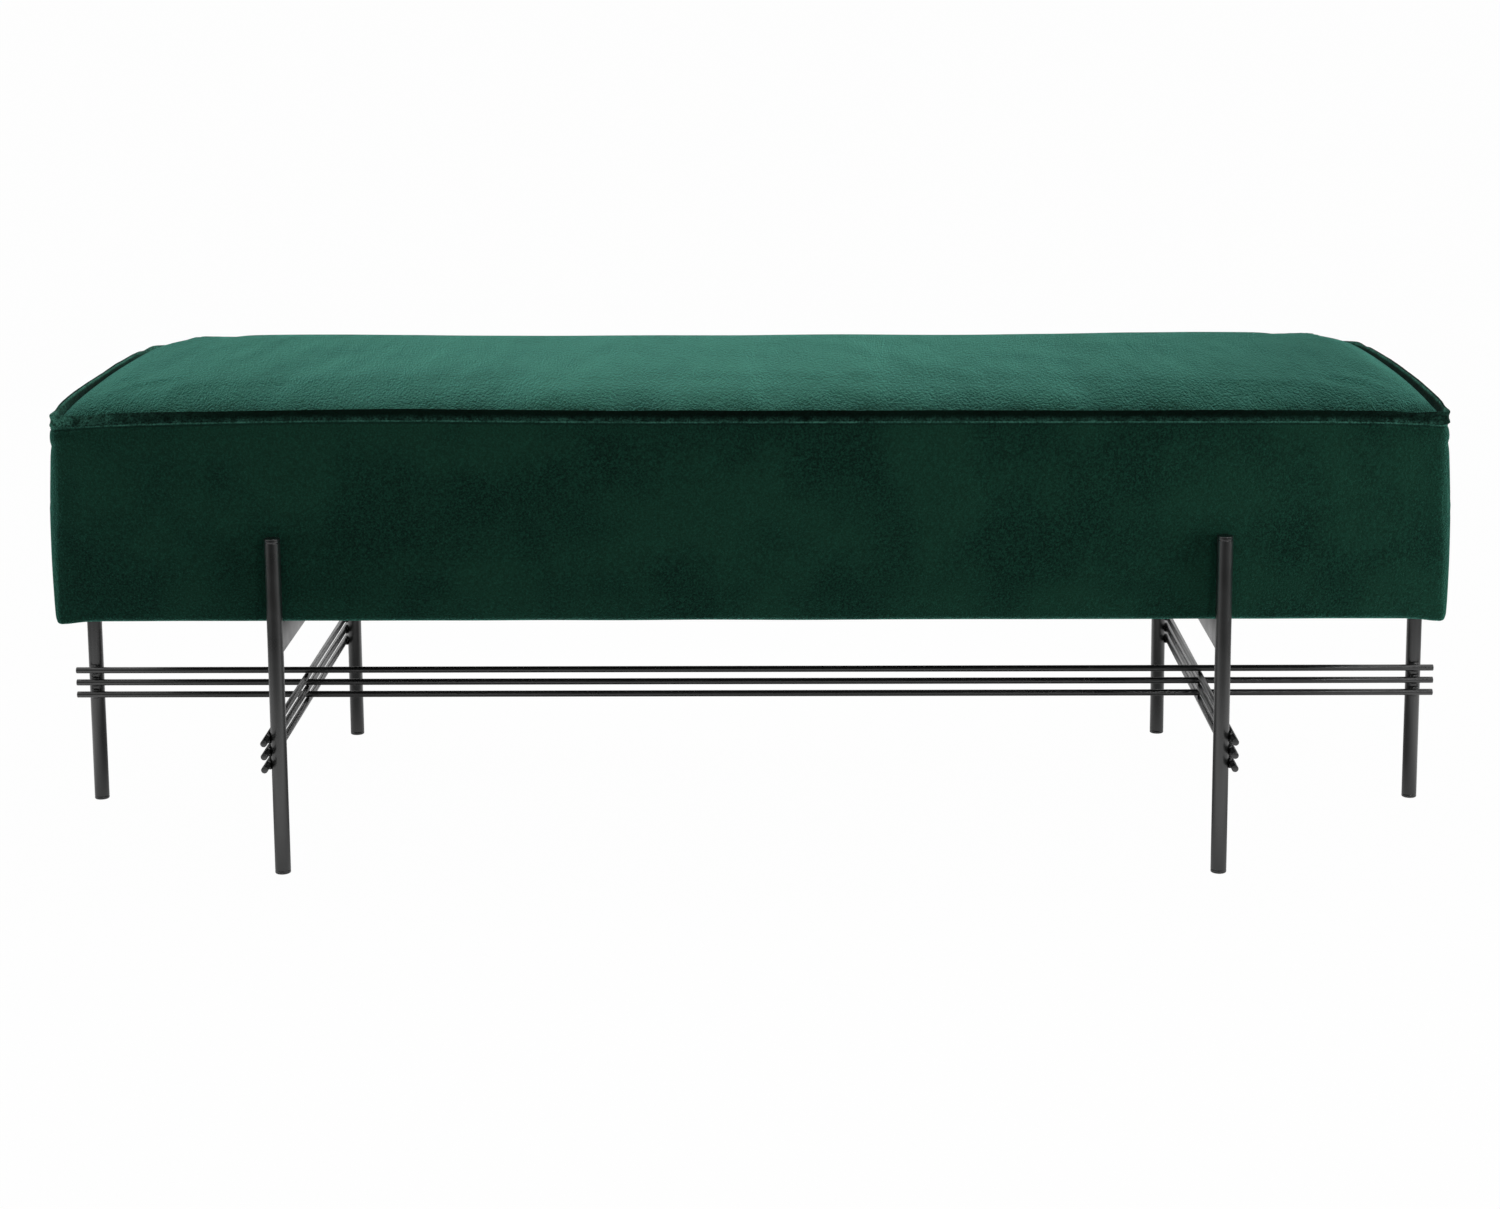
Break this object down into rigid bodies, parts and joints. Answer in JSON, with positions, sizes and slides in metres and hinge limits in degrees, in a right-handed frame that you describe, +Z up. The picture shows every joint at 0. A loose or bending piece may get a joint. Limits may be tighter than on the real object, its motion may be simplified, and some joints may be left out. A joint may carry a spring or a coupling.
{
  "type": "pouf",
  "caption": "Long box-shaped upholstered pouf with a crowned velvet top and a fin seam, on a welded base of tubular legs joined by crossing stacks of thin rods.",
  "frame": {"origin": "on the floor, under the middle of the seat", "axes": "+X to the right along the long rods, +Y to the rear, +Z up; the long rods lie on the -Y side of the end legs"},
  "size_m": [1.3, 0.47, 0.4379],
  "materials": {
    "powder_coat": "satin",
    "plug_plastic": "matte",
    "zinc_steel": "satin",
    "velvet": "matte",
    "foam": "matte",
    "wadding": "matte",
    "timber": "matte",
    "plywood": "matte",
    "dust_cloth": "matte"
  },
  "bodies": {
    "root": {"centre_rib": "timber", "corner_block_front_left": "timber", "corner_block_front_right": "timber", "corner_block_rear_left": "timber", "corner_block_rear_right": "timber", "cover_band": "velvet", "cover_top": "velvet", "cross_bar_left": "powder_coat", "cross_bar_right": "powder_coat", "crown_wadding": "wadding", "depth_rod_left_lower": "powder_coat", "depth_rod_left_middle": "powder_coat", "depth_rod_left_upper": "powder_coat", "depth_rod_right_lower": "powder_coat", "depth_rod_right_middle": "powder_coat", "depth_rod_right_upper": "powder_coat", "dust_cover": "dust_cloth", "end_bar_left": "powder_coat", "end_bar_right": "powder_coat", "fixing_batten_left": "timber", "fixing_batten_right": "timber", "fixing_screws": "zinc_steel", "fixing_tabs_left": "powder_coat", "fixing_tabs_right": "powder_coat", "leg_caps": "plug_plastic", "leg_end_left": "powder_coat", "leg_end_right": "powder_coat", "leg_front_left": "powder_coat", "leg_front_right": "powder_coat", "leg_glides": "plug_plastic", "leg_rear_left": "powder_coat", "leg_rear_right": "powder_coat", "long_rod_lower": "powder_coat", "long_rod_middle": "powder_coat", "long_rod_upper": "powder_coat", "rail_end_left": "timber", "rail_end_right": "timber", "rail_front": "timber", "rail_rear": "timber", "seam_flange": "velvet", "seat_deck": "plywood", "seat_foam": "foam", "side_foam_front": "foam", "side_foam_left": "foam", "side_foam_rear": "foam", "side_foam_right": "foam", "threaded_inserts": "zinc_steel", "weld_beads": "powder_coat"}
  },
  "joints": []
}
